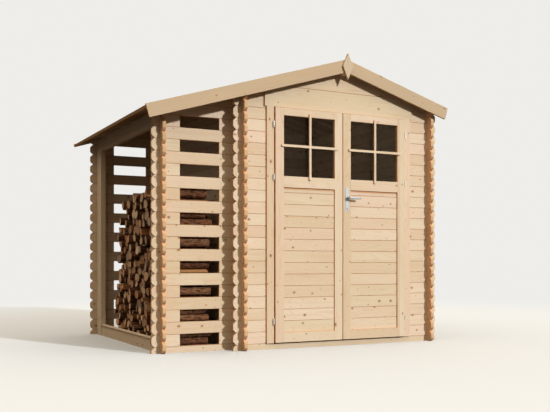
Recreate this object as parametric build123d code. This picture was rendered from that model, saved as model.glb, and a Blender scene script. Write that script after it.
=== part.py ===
from build123d import *
import os
from math import ceil, cos, pi, radians, sqrt, tan

# Garden shed of interlocking planks, with an open log store under the same roof on its left.
# Working frame in millimetres: X to the right, Y to the back, Z up,
# from the front left outer corner of the shed's walls, at ground level.

# Planks and their interlocking ends
plank_pitch = 94.0
wall_thickness = 28.0
joint_groove = 3.0
log_end_reach = 66.0
scallop_depth = 29.0
scallop_flat = 38.0
notch_clearance = 0.3
seat_clearance = 0.3

# Shed and log store on plan
shed_width = 1840.0
shed_depth = 2100.0
store_width = 630.0
store_inset = 110.0
shed_side_rows = 22
store_side_rows = 20

# Roof
roof_pitch_deg = 16.7
left_eave = 169.0
right_eave = 122.0
roof_overhang = 80.0
roof_board_thickness = 19.0
roof_board_width = 94.0
felt_thickness = 3.0
barge_thickness = 18.0
barge_above = 30.0
barge_below = 73.0
finial_width = 96.0
finial_height = 216.0
finial_above_ridge = 78.0
finial_thickness = 18.0
purlin_width = 44.0
purlin_height = 90.0

# Log store's slots and open side
slot_from_corner = 162.0
slot_width = 330.0
post_from_wall = 20.0
post_width = 140.0
post_depth = 45.0
post_groove = 20.0
store_sill_cap = 10.0
store_head_drop = 28.0
store_head_lap = 7.0
corner_batten = 28.0

# Door frame
door_frame_width = 1400.0
door_head_height = 1945.0
jamb_face = 65.0
jamb_proud = 15.0
jamb_groove = 20.0
door_stop = 15.0
door_gap = 5.0
meeting_gap = 7.0
header_lap = 17.5
header_thickness = 15.0
header_joint = 2115.0
threshold_depth = 34.0
threshold_height = 13.0

# Door leaves
leaf_thickness = 36.0
leaf_proud = 16.0
stile_width = 75.0
top_rail = 60.0
window_height = 490.0
middle_rail = 90.0
bottom_rail = 78.0
panel_recess = 10.0
panel_thickness = 18.0
glass_recess = 22.0
glass_thickness = 4.0
glazing_bar_width = 20.0
glazing_bar_thickness = 12.0
glazing_bar_lap = 24.0

# Hinges and lock
hinge_heights = (221.0, 1379.0, 1803.0)
knuckle_height = 25.0
knuckle_radius = 6.5
knuckle_from_jamb = 8.0
knuckle_from_leaf = 11.0
hinge_pin_radius = 3.0
pin_clearance = 0.1
knuckle_gap = 0.3
knuckle_cap = 2.0
hinge_stud_radius = 3.0
hinge_stud_depth = 22.0
lever_height = 1232.0
lock_plate_width = 35.0
lock_plate_below_lever = 112.0
lock_plate_above_lever = 90.0
lock_plate_thickness = 2.0
lock_from_edge = 38.0
keyhole_below_lever = 82.0
keyhole_width = 6.0
keyhole_length = 18.0
spindle_side = 8.0
spindle_clearance = 1.0
lever_neck_radius = 9.0
lever_stand_off = 42.0
lever_length = 123.0
lever_width = 20.0
lever_thickness = 10.0
lever_bevel = 3.0

# Floor
floor_board_thickness = 19.0
floor_board_width = 94.0
floor_bearer_width = 44.0
floor_bearer_count = 5
floor_clearance = 2.0

# Firewood
log_length = 400.0
log_diameter = 109.0
log_shoulder = 74.0
log_gap = 0.3
stack_from_opening = 14.0
stack_height = 1300.0
stack_top_length = 1100.0
stack_foot_length = 1450.0

# Sides of the small round pieces
round_sides = 12
pin_sides = 10
stud_sides = 8

# Values that follow from the sizes above
half_pitch = plank_pitch / 2
sill_plank_top = half_pitch
slope = tan(radians(roof_pitch_deg))
slope_cos = cos(radians(roof_pitch_deg))
eaves_height = shed_side_rows * plank_pitch
ridge_x = shed_width / 2
ridge_height = eaves_height + ridge_x * slope
wall_top = ridge_height + plank_pitch
store_left = -store_width
store_front = store_inset
store_back = shed_depth - store_inset
roof_front = -roof_overhang
roof_back = shed_depth + roof_overhang
door_left = ridge_x - door_frame_width / 2
door_right = ridge_x + door_frame_width / 2
wall_opening_top = (shed_side_rows - 0.5) * plank_pitch
leaf_front = -jamb_proud - leaf_proud
leaf_back = leaf_front + leaf_thickness
stop_front = leaf_back + door_gap
frame_back = wall_thickness + jamb_proud
leaf_width = (door_frame_width - 2 * jamb_face - 2 * door_gap - meeting_gap) / 2
leaf_bottom = sill_plank_top + door_gap
leaf_top = door_head_height - door_gap
window_top = leaf_top - top_rail
window_bottom = window_top - window_height
panel_top = window_bottom - middle_rail
panel_bottom = leaf_bottom + bottom_rail
hinge_y = -jamb_proud - knuckle_from_jamb
origin_x = (store_left - left_eave + shed_width + right_eave) / 2
origin_y = (roof_front - finial_thickness + roof_back) / 2


# Basic shapes

def box(x_range, y_range, z_range):
    """A box between two values on each axis."""
    size = [high - low for low, high in (x_range, y_range, z_range)]
    centre = [(high + low) / 2 for low, high in (x_range, y_range, z_range)]
    return Pos(*centre) * Box(*size)


def along_y(face, y_range):
    """A face drawn in X and Z, extruded from the first to the second value of Y."""
    return extrude(Plane.XZ.offset(-y_range[1]) * face, y_range[1] - y_range[0])


def along_x(face, x_range):
    """A face drawn in Y and Z, extruded from the first to the second value of X."""
    return extrude(Plane.YZ.offset(x_range[0]) * face, x_range[1] - x_range[0])


def along_z(face, z_range):
    """A face drawn in X and Y, extruded from the first to the second value of Z."""
    return extrude(Plane.XY.offset(z_range[0]) * face, z_range[1] - z_range[0])


def polygon(*points):
    """A closed straight-sided face."""
    return make_face(Polyline(*points, close=True))


def rod(x, y, z_range, radius, sides=round_sides):
    """An upright round bar, drawn as an even-sided prism whose corners lie on the radius."""
    face = Pos(x, y) * RegularPolygon(radius, sides)
    return along_z(face, z_range)


def span(start, length):
    """The two ends of a stretch."""
    return (start, start + length)


def mirrored_front_to_back(shape):
    """The same piece at the other gable."""
    return mirror(shape, Plane.XZ.offset(-shed_depth / 2))


def mirrored_side_to_side(shape):
    """The same piece on the other side of the shed's middle."""
    return mirror(shape, Plane.YZ.offset(ridge_x))


# The roof's underside, and what stands above it

def roof_underside(x):
    """Height of the underside of the roof boards at a place across the building."""
    return ridge_height - abs(x - ridge_x) * slope


def above_roof():
    """All that lies above the underside of the roof boards."""
    left = store_left - 2 * left_eave
    right = shed_width + 2 * right_eave
    top = ridge_height + 2 * plank_pitch
    face = polygon(
        (left, roof_underside(left)),
        (ridge_x, ridge_height),
        (right, roof_underside(right)),
        (right, top),
        (left, top),
    )
    return along_y(face, (2 * roof_front, shed_depth - 2 * roof_front))


def purlin_pocket():
    """The way that the ridge purlin takes through the gables."""
    side = purlin_width / 2 + notch_clearance
    return box(
        (ridge_x - side, ridge_x + side),
        (2 * roof_front, shed_depth - 2 * roof_front),
        (ridge_height - purlin_height - notch_clearance, wall_top),
    )


# Interlocking plank walls

def scalloped_end(tip, inward, centres, top):
    """The chamfered plank ends of a wall, from the ground up. inward is 1 or -1."""
    root = tip + inward * scallop_depth
    points = []
    for centre in centres:
        if centre >= half_pitch:
            points.append((root, centre - half_pitch))
        points.append((tip, max(centre - scallop_flat / 2, 0.0)))
        points.append((tip, centre + scallop_flat / 2))
    points[-1] = (tip, top)
    return points


def wall_outline(ends, centres, top, scalloped):
    """A wall's elevation, with scalloped or straight ends."""
    sides = []
    for place, inward, cut in ((ends[0], 1, scalloped[0]), (ends[1], -1, scalloped[1])):
        sides.append(scalloped_end(place, inward, centres, top) if cut else [(place, 0), (place, top)])
    return polygon(*sides[0], *reversed(sides[1]))


def grooved_section(near, thickness, joints, top):
    """A wall's cross-section, with a V groove at each joint of its outer face."""
    far = near + thickness
    points = [(near, 0)]
    for joint in joints:
        points += [(near, joint - joint_groove), (near + joint_groove, joint), (near, joint + joint_groove)]
    points += [(near, top), (far, top), (far, 0)]
    return polygon(*points)


def plank_wall(direction, ends, near, offset, rows, top, crossings, scalloped=(True, True)):
    """A wall of stacked planks, notched where other walls cross it and grooved between them.

    direction is x or y, ends are its two end places, near is its outer face and offset is the
    height of its lowest plank's middle. crossings are the near faces of the walls that cross it.
    """
    centres = [offset + row * plank_pitch for row in range(rows)]
    joints = [centre + half_pitch for centre in centres[:-1]]
    outline = wall_outline(ends, centres, top, scalloped)
    extruded = along_y if direction == "x" else along_x
    wall = extruded(outline, span(near, wall_thickness))
    notches = crossing_notches(direction, near, crossings, joints, top)
    grooves = joint_grooves(direction, near, groove_stretch(ends, crossings), joints)
    return wall - notches - grooves - above_roof()


def crossing_notches(direction, near, crossings, joints, top):
    """The room for the planks of the walls that cross this one, half a row each."""
    through = (near - wall_thickness, near + 2 * wall_thickness)
    quarter = plank_pitch / 4 + notch_clearance
    notches = []
    for crossing in crossings:
        reach = (crossing - notch_clearance, crossing + wall_thickness + notch_clearance)
        bands = [(joint - quarter, joint + quarter) for joint in joints]
        bands.append((joints[-1] + plank_pitch - quarter, top))
        if joints[0] > half_pitch:
            bands.append((-quarter, quarter))
        notches += [notch(direction, reach, through, band) for band in bands]
    return notches


def groove_stretch(ends, crossings):
    """The grooves run from wall to wall, or out of a straight end."""
    first = crossings[0] + wall_thickness + notch_clearance
    last = crossings[-1] - notch_clearance if len(crossings) > 1 else ends[1]
    return (first, last)


def joint_grooves(direction, near, stretch, joints):
    """A V groove along the outer face at each joint between planks."""
    extruded = along_x if direction == "x" else along_y
    bottom = near + joint_groove
    grooves = []
    for joint in joints:
        face = polygon((near, joint - joint_groove), (bottom, joint), (near, joint + joint_groove))
        grooves.append(extruded(face, stretch))
    return grooves


def notch(direction, reach, through, heights):
    """The room for one crossing plank."""
    if direction == "x":
        return box(reach, through, heights)
    return box(through, reach, heights)


def row_band(row, x_range, y_range):
    """The room of one plank of a wall whose lowest plank is cut in half."""
    low = max((row - 0.5) * plank_pitch, 0.0)
    return box(x_range, y_range, (low, (row + 0.5) * plank_pitch))


# Shed walls

def gable_wall():
    """The shed's whole front wall, from log end to log end, before the doorway is cut."""
    ends = (-log_end_reach, shed_width + log_end_reach)
    rows = ceil(ridge_height / plank_pitch) + 1
    crossings = (0.0, shed_width - wall_thickness)
    wall = plank_wall("x", ends, 0.0, 0.0, rows, wall_top, crossings)
    return wall - purlin_pocket()


def side_wall():
    """The shed's left wall."""
    ends = (-log_end_reach, shed_depth + log_end_reach)
    crossings = (0.0, shed_depth - wall_thickness)
    return plank_wall("y", ends, 0.0, half_pitch, shed_side_rows, wall_top, crossings)


def gable_wall_pieces():
    """The back wall, and the front wall parted round the doorway."""
    whole = gable_wall()
    across = (-2 * log_end_reach, shed_width + 2 * log_end_reach)
    deep = (-wall_thickness, 2 * wall_thickness)
    left = (across[0], door_left + jamb_groove)
    right = (door_right - jamb_groove, across[1])
    between = (sill_plank_top, wall_opening_top)
    return {
        "back_wall": mirrored_front_to_back(whole),
        "front_sill_plank": whole & box(across, deep, (0.0, sill_plank_top)),
        "front_wall_left": whole & box(left, deep, between),
        "front_wall_right": whole & box(right, deep, between),
        "front_gable": whole & box(across, deep, (wall_opening_top, wall_top)),
    }


# Log store walls

def slotted_wall_pieces():
    """The log store's front wall, with a slot in every second row."""
    ends = (store_left - log_end_reach, -seat_clearance)
    rows = shed_side_rows + 1
    whole = plank_wall("x", ends, store_front, 0.0, rows, wall_top, (store_left,), (True, False))
    deep = (store_front - wall_thickness, store_front + 2 * wall_thickness)
    across = (ends[0] - wall_thickness, 0.0)
    slot_start = store_left + slot_from_corner
    slot_end = slot_start + slot_width
    slotted = range(1, store_side_rows, 2)
    full_bands = [row_band(row, across, deep) for row in range(0, store_side_rows, 2)]
    full_bands.append(box(across, deep, ((store_side_rows - 0.5) * plank_pitch, wall_top)))
    left_bands = [row_band(row, (across[0], slot_start), deep) for row in slotted]
    right_bands = [row_band(row, (slot_end, 0.0), deep) for row in slotted]
    return {
        "full_planks": [whole & band for band in full_bands],
        "short_planks_left": [whole & band for band in left_bands],
        "short_planks_right": [whole & band for band in right_bands],
    }


def store_side_pieces():
    """The open side of the log store: bottom and top planks, and stubs at both corners."""
    ends = (store_front - log_end_reach, store_back + log_end_reach)
    crossings = (store_front, store_back - wall_thickness)
    whole = plank_wall("y", ends, store_left, half_pitch, store_side_rows, wall_top, crossings)
    deep = (store_left - wall_thickness, store_left + 2 * wall_thickness)
    long = (ends[0] - wall_thickness, ends[1] + wall_thickness)
    head_bottom = (store_side_rows - 1) * plank_pitch
    stub_end = store_front + wall_thickness + post_from_wall + post_groove
    stubs = whole & box(deep, (long[0], stub_end), (plank_pitch, head_bottom))
    return {
        "store_side_sill": whole & box(deep, long, (0.0, plank_pitch)),
        "store_side_head": whole & box(deep, long, (head_bottom, wall_top)),
        "store_side_planks_front": stubs,
        "store_side_planks_back": mirrored_front_to_back(stubs),
    }


def store_frame_pieces():
    """The posts, cap and head lining round the open side."""
    middle = store_left + wall_thickness / 2
    deep = (middle - post_depth / 2, middle + post_depth / 2)
    plank = (store_left - seat_clearance, store_left + wall_thickness + seat_clearance)
    head_bottom = (store_side_rows - 1) * plank_pitch
    post_start = store_front + wall_thickness + post_from_wall
    post_end = post_start + post_width
    top = head_bottom + store_head_lap
    post = box(deep, (post_start, post_end), (0.0, top))
    groove_end = post_start + post_groove + seat_clearance
    post -= box(plank, (post_start - post_groove, groove_end), (0.0, top))
    post -= box(plank, (0.0, post_end + post_groove), (-plank_pitch, plank_pitch))
    post -= box(plank, (0.0, post_end + post_groove), (head_bottom, top + plank_pitch))
    between = (post_end + seat_clearance, shed_depth - post_end - seat_clearance)
    lining = box(deep, between, (head_bottom - store_head_drop, top))
    lining -= box(plank, between, (head_bottom, top + plank_pitch))
    cap = box(deep, between, (plank_pitch, plank_pitch + store_sill_cap))
    return {
        "store_post_front": post,
        "store_post_back": mirrored_front_to_back(post),
        "store_head_lining": lining,
        "store_sill_cap": cap,
    }


def store_corner_batten():
    """The upright that fixes the log store's planks to the shed's wall."""
    start = store_front + wall_thickness
    across = (-corner_batten - seat_clearance, -seat_clearance)
    height = roof_underside(across[0]) - seat_clearance
    return box(across, span(start, corner_batten), (0.0, height))


# Roof

def slope_prism(side, points, y_range):
    """A face drawn down the slope and square to it, extruded along the ridge.

    side is -1 for the left slope and 1 for the right one. Points start at the ridge.
    """
    start = y_range[1] if side > 0 else y_range[0]
    plane = Plane(
        origin=(ridge_x, start, ridge_height),
        x_dir=(side * slope_cos, 0, -slope_cos * slope),
        z_dir=(0, -side, 0),
    )
    return extrude(plane * polygon(*points), y_range[1] - y_range[0])


def slope_length(side):
    """From the ridge down to the eave, along the roof's underside."""
    reach = ridge_x - store_left + left_eave if side < 0 else shed_width - ridge_x + right_eave
    return reach / slope_cos


def slope_layer(side, low, high, y_range):
    """A layer of the roof between two heights above its underside, mitred at the ridge."""
    end = slope_length(side)
    points = [(-low * slope, low), (-high * slope, high), (end, high), (end, low)]
    return slope_prism(side, points, y_range)


def roof_boards(side):
    """Boards that run down one slope, with a V groove under each joint."""
    boards = slope_layer(side, 0.0, roof_board_thickness, (roof_front, roof_back))
    count = round((roof_back - roof_front) / roof_board_width)
    width = (roof_back - roof_front) / count
    grooves = []
    for joint in range(1, count):
        plane = Plane(
            origin=(ridge_x, roof_front + joint * width, ridge_height),
            x_dir=(0, 1, 0),
            z_dir=(side * slope_cos, 0, -slope_cos * slope),
        )
        face = polygon((-joint_groove, 0), (joint_groove, 0), (0, side * joint_groove))
        start = -plank_pitch
        grooves.append(extrude(plane.offset(start) * face, slope_length(side) - 2 * start))
    return boards - grooves


def roof_felt():
    """One sheet of felt over both slopes."""
    low = roof_board_thickness
    high = low + felt_thickness
    along = (roof_front, roof_back)
    return slope_layer(-1, low, high, along) + slope_layer(1, low, high, along)


def barge_board(side):
    """The board along the front edge of one slope."""
    return slope_layer(side, -barge_below, barge_above, (roof_front - barge_thickness, roof_front))


def verge_strip(side):
    """The narrow strip over the board ends along the back edge of one slope."""
    return slope_layer(side, 0.0, barge_above, span(roof_back, barge_thickness))


def finial():
    """The diamond over the joint of the front barge boards."""
    top = ridge_height + finial_above_ridge
    middle = top - finial_height / 2
    face = polygon(
        (ridge_x, top),
        (ridge_x + finial_width / 2, middle),
        (ridge_x, top - finial_height),
        (ridge_x - finial_width / 2, middle),
    )
    front = roof_front - barge_thickness
    return along_y(face, (front - finial_thickness, front))


def ridge_purlin():
    """The beam under the ridge, bevelled to both slopes."""
    side = purlin_width / 2
    beam = box(
        (ridge_x - side, ridge_x + side),
        (roof_front, roof_back),
        (ridge_height - purlin_height, wall_top),
    )
    return beam - above_roof()


# Hinges: a lower knuckle with its pin on the jamb, and an upper knuckle on the leaf,
# each on a stud that is screwed into the wood

leaf_left = door_left + jamb_face + door_gap
hinge_x = leaf_left - knuckle_from_leaf
stud_bore_radius = (hinge_stud_radius + pin_clearance) / cos(pi / stud_sides)


def jamb_stud(height, radius, beyond):
    """The lower knuckle's stud, square to the jamb's face, or the room for it."""
    face = Pos(hinge_x, height - knuckle_height / 2) * RegularPolygon(radius, stud_sides)
    return along_y(face, (hinge_y, -jamb_proud + hinge_stud_depth + beyond))


def leaf_stud(height, radius, beyond):
    """The upper knuckle's stud, square to the leaf's edge, or the room for it."""
    face = Pos(hinge_y, height + knuckle_height / 2) * RegularPolygon(radius, stud_sides)
    return along_x(face, (hinge_x, leaf_left + hinge_stud_depth + beyond))


def hinge_on_jamb(height):
    """Lower knuckle, its pin and its stud."""
    low, high = -knuckle_height, -knuckle_gap
    knuckle = rod(hinge_x, hinge_y, (height + low, height + high), knuckle_radius)
    pin_top = knuckle_height - 2 * knuckle_cap
    pin = rod(hinge_x, hinge_y, (height + high, height + pin_top), hinge_pin_radius, pin_sides)
    return knuckle + jamb_stud(height, hinge_stud_radius, 0.0) + pin


def hinge_on_leaf(height):
    """Upper knuckle with its bore, and its stud."""
    low, high = knuckle_gap, knuckle_height
    knuckle = rod(hinge_x, hinge_y, (height + low, height + high), knuckle_radius)
    bore_radius = (hinge_pin_radius + pin_clearance) / cos(pi / pin_sides)
    bore_top = height + knuckle_height - knuckle_cap
    bore = rod(hinge_x, hinge_y, (height, bore_top), bore_radius, pin_sides)
    return knuckle + leaf_stud(height, hinge_stud_radius, 0.0) - bore


# Door frame

def jamb():
    """The left jamb: it clasps the plank ends, has a stop for the leaf and is bored for the hinges."""
    inner = door_left + jamb_face
    groove_end = door_left + jamb_groove + seat_clearance
    face = polygon(
        (door_left, -jamb_proud),
        (inner, -jamb_proud),
        (inner, stop_front),
        (inner + door_stop, stop_front),
        (inner + door_stop, frame_back),
        (door_left, frame_back),
        (door_left, wall_thickness + seat_clearance),
        (groove_end, wall_thickness + seat_clearance),
        (groove_end, -seat_clearance),
        (door_left, -seat_clearance),
    )
    bored = along_z(face, (sill_plank_top, door_head_height))
    return bored - [jamb_stud(height, stud_bore_radius, seat_clearance) for height in hinge_heights]


def door_head():
    """The frame's top piece, behind the header panel."""
    edge = jamb_groove + seat_clearance
    stop_edge = jamb_face + door_stop + seat_clearance
    core = box(
        (door_left + edge, door_right - edge),
        (0.0, wall_thickness),
        (door_head_height, wall_opening_top - seat_clearance),
    )
    flange = box(
        (door_left, door_right),
        (wall_thickness, frame_back),
        (door_head_height, wall_opening_top + jamb_groove),
    )
    stop = box(
        (door_left + stop_edge, door_right - stop_edge),
        (stop_front, frame_back),
        (door_head_height - door_stop, door_head_height),
    )
    return core + flange + stop


def door_threshold():
    """The low strip behind the leaves' foot."""
    edge = jamb_face + door_stop + seat_clearance
    return box(
        (door_left + edge, door_right - edge),
        span(stop_front, threshold_depth),
        span(sill_plank_top, threshold_height),
    )


def header_panel():
    """Two wide boards over the doorway, up to the roof, flush with the door frame."""
    section = grooved_section(-header_thickness, header_thickness, [header_joint], wall_top)
    across = (door_left - header_lap, door_right + header_lap)
    panel = along_x(section, across)
    panel -= box(across, (-plank_pitch, plank_pitch), (-plank_pitch, door_head_height))
    return panel - above_roof() - purlin_pocket()


# Door leaves. Each is drawn as the left leaf, from its hinge edge at X = leaf_left.

leaf_right = leaf_left + leaf_width
inner_left = leaf_left + stile_width
inner_right = leaf_right - stile_width
leaf_depth = (leaf_front, leaf_back)


def leaf_stiles():
    """The two uprights of a leaf, the outer one bored for the hinges."""
    heights = (leaf_bottom, leaf_top)
    bores = [leaf_stud(height, stud_bore_radius, seat_clearance) for height in hinge_heights]
    return [
        box((leaf_left, inner_left), leaf_depth, heights) - bores,
        box((inner_right, leaf_right), leaf_depth, heights),
    ]


def leaf_rails():
    """The bottom, middle and top rails between the stiles."""
    bands = ((leaf_bottom, panel_bottom), (panel_top, window_bottom), (window_top, leaf_top))
    return [box((inner_left, inner_right), leaf_depth, band) for band in bands]


def leaf_panel():
    """The boards in the lower part of a leaf, with a V groove at each joint."""
    count = ceil((panel_top - panel_bottom) / plank_pitch)
    joints = [panel_bottom + joint * plank_pitch for joint in range(1, count)]
    section = grooved_section(leaf_front + panel_recess, panel_thickness, joints, panel_top)
    across = (inner_left + seat_clearance, inner_right - seat_clearance)
    panel = along_x(section, across)
    heights = (panel_bottom + seat_clearance, panel_top - seat_clearance)
    return panel & box(across, (-plank_pitch, plank_pitch), heights)


def leaf_glass():
    """The pane of a leaf."""
    return box(
        (inner_left + seat_clearance, inner_right - seat_clearance),
        span(leaf_front + glass_recess, glass_thickness),
        (window_bottom + seat_clearance, window_top - seat_clearance),
    )


def glazing_bars():
    """The cross of bars laid on the leaf's face."""
    deep = (leaf_front - glazing_bar_thickness, leaf_front)
    middle_x = (inner_left + inner_right) / 2
    middle_z = (window_bottom + window_top) / 2
    half = glazing_bar_width / 2
    upright = box(
        (middle_x - half, middle_x + half),
        deep,
        (window_bottom - glazing_bar_lap, window_top + glazing_bar_lap),
    )
    level = box(
        (inner_left - glazing_bar_lap, inner_right + glazing_bar_lap),
        deep,
        (middle_z - half, middle_z + half),
    )
    return upright + level


# Lock plates and lever handle, on the right leaf by its meeting edge

lock_x = shed_width - leaf_right + lock_from_edge


def across_leaf(radius, y_range, x, z):
    """A round bar or hole through the leaf, drawn as an even-sided prism."""
    return along_y(Pos(x, z) * RegularPolygon(radius, round_sides), y_range)


def spindle_bore():
    """Room for the spindle to turn."""
    deep = (leaf_front - plank_pitch, leaf_back + plank_pitch)
    radius = spindle_side / sqrt(2) + spindle_clearance
    return across_leaf(radius, deep, lock_x, lever_height)


def keyhole():
    """An upright slot for a key."""
    deep = (leaf_front - plank_pitch, leaf_back + plank_pitch)
    side = keyhole_width / 2
    top = lever_height - keyhole_below_lever
    return box((lock_x - side, lock_x + side), deep, (top - keyhole_length, top))


def lock_plates():
    """The plates on both faces of the leaf."""
    across = (lock_x - lock_plate_width / 2, lock_x + lock_plate_width / 2)
    heights = (lever_height - lock_plate_below_lever, lever_height + lock_plate_above_lever)
    plates = []
    for face in (leaf_front - lock_plate_thickness, leaf_back):
        plates.append(box(across, span(face, lock_plate_thickness), heights) - spindle_bore() - keyhole())
    return plates


def lever(face, outward):
    """One lever: a round neck square to the leaf, and a flat grip that points away from its edge."""
    grip_face = face + outward * lever_stand_off
    grip_depth = sorted((grip_face, grip_face - outward * lever_thickness))
    neck_depth = sorted((face, grip_face - outward * lever_bevel))
    neck = across_leaf(lever_neck_radius, neck_depth, lock_x, lever_height)
    grip = box(
        (lock_x - lever_width / 2, lock_x - lever_width / 2 + lever_length),
        grip_depth,
        (lever_height - lever_width / 2, lever_height + lever_width / 2),
    )
    grip = chamfer(grip.edges().filter_by(Axis.X), lever_bevel)
    return neck + grip


def door_handle():
    """The levers on both faces, joined by the square spindle."""
    front = leaf_front - lock_plate_thickness - notch_clearance
    back = leaf_back + lock_plate_thickness + notch_clearance
    half = spindle_side / 2
    spindle = box(
        (lock_x - half, lock_x + half),
        (front - lever_thickness, back + lever_thickness),
        (lever_height - half, lever_height + half),
    )
    return lever(front, -1) + lever(back, 1) + spindle


# Floor

def shed_floor():
    """Boards across the shed, with a groove at each joint."""
    inside_x = (wall_thickness + floor_clearance, shed_width - wall_thickness - floor_clearance)
    inside_y = (wall_thickness + floor_clearance, shed_depth - wall_thickness - floor_clearance)
    top = sill_plank_top
    low = top - floor_board_thickness
    count = round((inside_y[1] - inside_y[0]) / floor_board_width)
    width = (inside_y[1] - inside_y[0]) / count
    points = [(inside_y[0], low), (inside_y[0], top)]
    for joint in range(1, count):
        place = inside_y[0] + joint * width
        points += [(place - joint_groove, top), (place, top - joint_groove), (place + joint_groove, top)]
    points += [(inside_y[1], top), (inside_y[1], low)]
    return along_x(polygon(*points), inside_x)


def floor_bearers():
    """Bearers under the floor boards."""
    first = wall_thickness + floor_clearance
    last = shed_width - wall_thickness - floor_clearance - floor_bearer_width
    step = (last - first) / (floor_bearer_count - 1)
    along = (wall_thickness + floor_clearance, shed_depth - wall_thickness - floor_clearance)
    top = sill_plank_top - floor_board_thickness
    starts = [first + bearer * step for bearer in range(floor_bearer_count)]
    return [box(span(start, floor_bearer_width), along, (0.0, top)) for start in starts]


# Firewood

def log_course(y_start, y_end, z_low):
    """One course of split logs lying along X, flat side down and one edge up."""
    count = round((y_end - y_start) / log_diameter)
    width = (y_end - y_start) / count
    points = [(y_start, z_low)]
    for place in range(count):
        start = y_start + place * width
        points.append((start, z_low + log_shoulder))
        points.append((start + width / 2, z_low + log_diameter - log_gap))
    points += [(y_end, z_low + log_shoulder), (y_end, z_low)]
    start = store_left + wall_thickness + stack_from_opening
    return along_x(polygon(*points), span(start, log_length))


def firewood_stack():
    """The stack, level on top and sloping more and more steeply down to the back."""
    courses = round(stack_height / log_diameter)
    start = store_front + wall_thickness + seat_clearance
    pieces = []
    for course in range(courses):
        share = course / (courses - 1)
        length = stack_foot_length + (stack_top_length - stack_foot_length) * share ** 2
        pieces.append(log_course(start, start + length, course * log_diameter))
    return pieces


# All nodes

def all_nodes():
    """Every node's solids, in the working frame."""
    nodes = {}
    nodes.update(gable_wall_pieces())
    left_wall = side_wall()
    nodes["shed_left_wall"] = left_wall
    nodes["shed_right_wall"] = mirrored_side_to_side(left_wall)
    for name, planks in slotted_wall_pieces().items():
        nodes["store_front_" + name] = planks
        nodes["store_back_" + name] = [mirrored_front_to_back(plank) for plank in planks]
    nodes.update(store_side_pieces())
    nodes.update(store_frame_pieces())
    batten = store_corner_batten()
    nodes["store_corner_batten_front"] = batten
    nodes["store_corner_batten_back"] = mirrored_front_to_back(batten)
    nodes["ridge_purlin"] = ridge_purlin()
    nodes["roof_boards_left"] = roof_boards(-1)
    nodes["roof_boards_right"] = roof_boards(1)
    nodes["roof_felt"] = roof_felt()
    for side, name in ((-1, "left"), (1, "right")):
        nodes["barge_board_front_" + name] = barge_board(side)
        nodes["barge_board_back_" + name] = verge_strip(side)
    nodes["finial_front"] = finial()
    nodes["door_jamb_left"] = jamb()
    nodes["door_jamb_right"] = mirrored_side_to_side(jamb())
    nodes["door_head"] = door_head()
    nodes["door_threshold"] = door_threshold()
    nodes["door_header_panel"] = header_panel()
    nodes.update(leaf_nodes())
    nodes["lock_plates"] = lock_plates()
    nodes["door_handle"] = door_handle()
    nodes["shed_floor"] = shed_floor()
    nodes["floor_bearers"] = floor_bearers()
    nodes["firewood_stack"] = firewood_stack()
    return nodes


def leaf_nodes():
    """Both leaves with their hinges; the right leaf is bored for the handle."""
    parts = {
        "stiles": leaf_stiles(),
        "rails": leaf_rails(),
        "panel": [leaf_panel()],
        "glass": [leaf_glass()],
        "glazing_bars": [glazing_bars()],
        "hinge_knuckles": [hinge_on_leaf(height) for height in hinge_heights],
    }
    nodes = {}
    for part, pieces in parts.items():
        nodes["left_door_" + part] = pieces
        nodes["right_door_" + part] = [mirrored_side_to_side(piece) for piece in pieces]
    bored = [stile - spindle_bore() - keyhole() for stile in nodes["right_door_stiles"]]
    nodes["right_door_stiles"] = bored
    on_jamb = [hinge_on_jamb(height) for height in hinge_heights]
    nodes["door_frame_hinges"] = on_jamb + [mirrored_side_to_side(piece) for piece in on_jamb]
    return nodes


def write_nodes():
    """One STEP file per node, with the origin under the middle of the roof."""
    os.makedirs("parts", exist_ok=True)
    for name, pieces in all_nodes().items():
        listed = pieces if isinstance(pieces, list) else [pieces]
        solids = [solid for piece in listed for solid in piece.solids()]
        moved = [Pos(-origin_x, -origin_y, 0) * solid for solid in solids]
        shape = moved[0] if len(moved) == 1 else Compound(children=moved)
        shape.label = name
        export_step(shape, "parts/" + name + ".step")


write_nodes()
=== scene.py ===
"""Looks of the garden shed with its open log store: materials for the CAD's pieces, single logs
for the firewood, rounded log ends, turned hinges and lever, and a plain studio."""
import math
import random

import bmesh
import bpy
import numpy as np
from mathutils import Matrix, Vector


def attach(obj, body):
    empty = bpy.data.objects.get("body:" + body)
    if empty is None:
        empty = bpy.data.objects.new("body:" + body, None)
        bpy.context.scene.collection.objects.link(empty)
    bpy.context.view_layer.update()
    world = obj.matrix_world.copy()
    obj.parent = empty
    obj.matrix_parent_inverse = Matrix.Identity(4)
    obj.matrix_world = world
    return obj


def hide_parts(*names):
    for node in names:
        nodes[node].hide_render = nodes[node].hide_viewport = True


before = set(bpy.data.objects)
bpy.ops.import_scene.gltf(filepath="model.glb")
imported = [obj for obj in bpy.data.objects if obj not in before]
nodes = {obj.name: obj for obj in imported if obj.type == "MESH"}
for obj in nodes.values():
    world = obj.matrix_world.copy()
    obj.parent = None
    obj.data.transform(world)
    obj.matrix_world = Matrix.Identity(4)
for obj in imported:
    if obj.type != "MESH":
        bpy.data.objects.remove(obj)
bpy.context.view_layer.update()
random.seed(31)

# Sizes of the shed in metres, from its front left outer wall corner.
ORIGIN_X = 0.5815
ORIGIN_Y = 1.041
PITCH = 0.094
HALF = PITCH / 2
WALL = 0.028
SHED_WIDTH = 1.84
SHED_DEPTH = 2.1
SHED_ROWS = 22
STORE_WIDTH = 0.63
STORE_INSET = 0.11
STORE_ROWS = 20
END_REACH = 0.066
SLOPE = math.radians(16.7)
RIDGE_X = SHED_WIDTH / 2
RIDGE_HEIGHT = SHED_ROWS * PITCH + RIDGE_X * math.tan(SLOPE)
FIT = 0.0003  # play between pieces that fit into each other or turn on each other

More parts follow.
